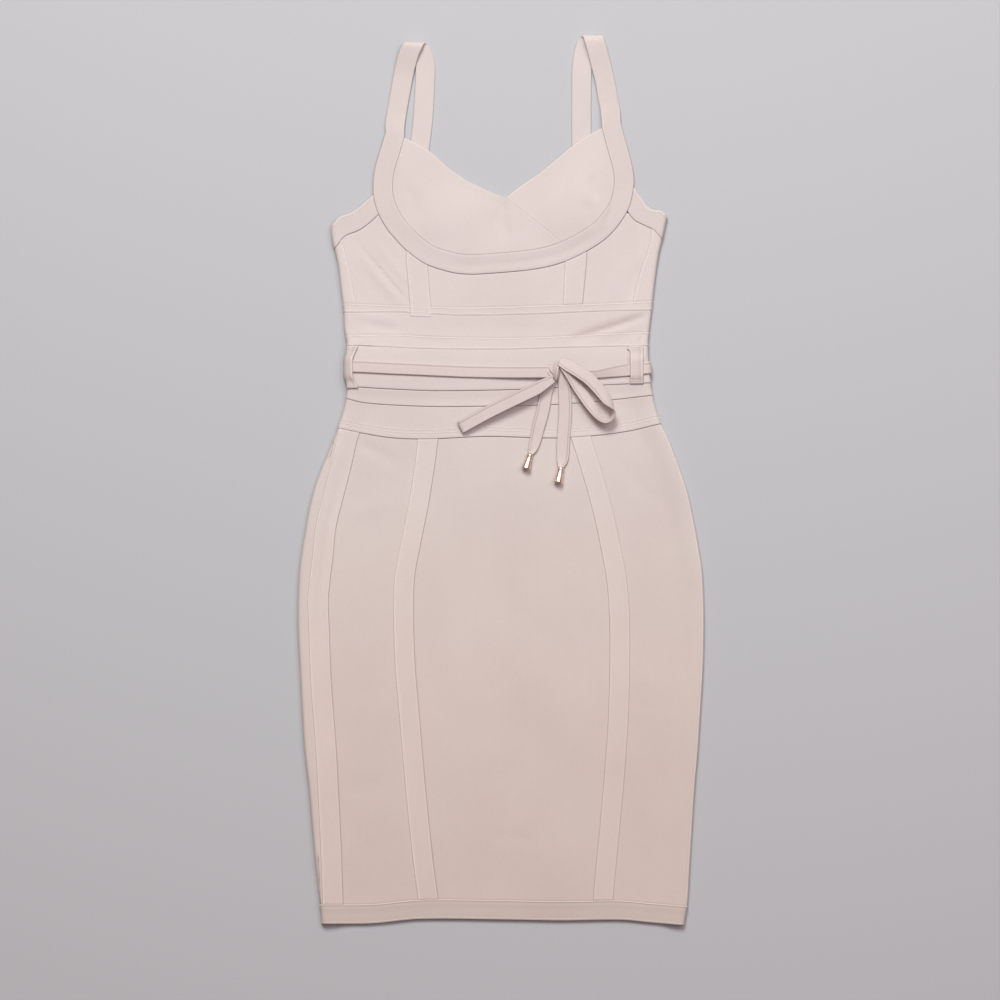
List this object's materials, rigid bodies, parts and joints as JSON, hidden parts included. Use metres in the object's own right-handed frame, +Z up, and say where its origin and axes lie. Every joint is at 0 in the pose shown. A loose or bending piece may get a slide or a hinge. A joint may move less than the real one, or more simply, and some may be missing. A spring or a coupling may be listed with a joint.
{
  "type": "bodycon dress laid flat",
  "caption": "Sleeveless bandage-knit bodycon dress laid flat, with wide straps, lapped cups, curved skirt bands and a belt tied in a bow.",
  "frame": {"origin": "on the surface that the dress lies on, under the middle of its outline", "axes": "+X to the right across the front, +Y from the hem to the straps, +Z up from the surface"},
  "size_m": [0.4059, 0.89, 0.0179],
  "materials": {
    "dress_knit": "matte, finely ribbed bandage knit in pale dusty pink",
    "belt_knit": "matte, finely ribbed knit strip in the dress's pale dusty pink",
    "cord_metal": "polished rose gold"
  },
  "bodies": {
    "root": {"bust_band": "dress_knit", "strap_left": "dress_knit", "strap_right": "dress_knit", "cup_left": "dress_knit", "cup_right": "dress_knit", "armhole_band_left": "dress_knit", "armhole_band_right": "dress_knit", "bodice_centre": "dress_knit", "bodice_band_left": "dress_knit", "bodice_band_right": "dress_knit", "bodice_front_left": "dress_knit", "bodice_front_right": "dress_knit", "bodice_side_left": "dress_knit", "bodice_side_right": "dress_knit", "back_bodice": "dress_knit", "underbust_band": "dress_knit", "midriff": "dress_knit", "waist_tape": "dress_knit", "belt_panel": "dress_knit", "tuck_strip": "dress_knit", "waist_band": "dress_knit", "back_waist": "dress_knit", "skirt_centre": "dress_knit", "skirt_band_left": "dress_knit", "skirt_band_right": "dress_knit", "skirt_front_left": "dress_knit", "skirt_front_right": "dress_knit", "skirt_side_band_left": "dress_knit", "skirt_side_band_right": "dress_knit", "back_skirt": "dress_knit", "hem_band": "dress_knit", "belt_left": "belt_knit", "belt_right": "belt_knit", "belt_back": "belt_knit", "belt_front_right": "belt_knit", "belt_carrier_left": "belt_knit", "belt_carrier_right": "belt_knit", "bow_knot": "belt_knit", "bow_loop_left": "belt_knit", "bow_loop_right": "belt_knit", "belt_tail_left": "belt_knit", "belt_tail_right": "belt_knit", "cord_end_left": "cord_metal", "cord_end_right": "cord_metal"}
  },
  "joints": []
}
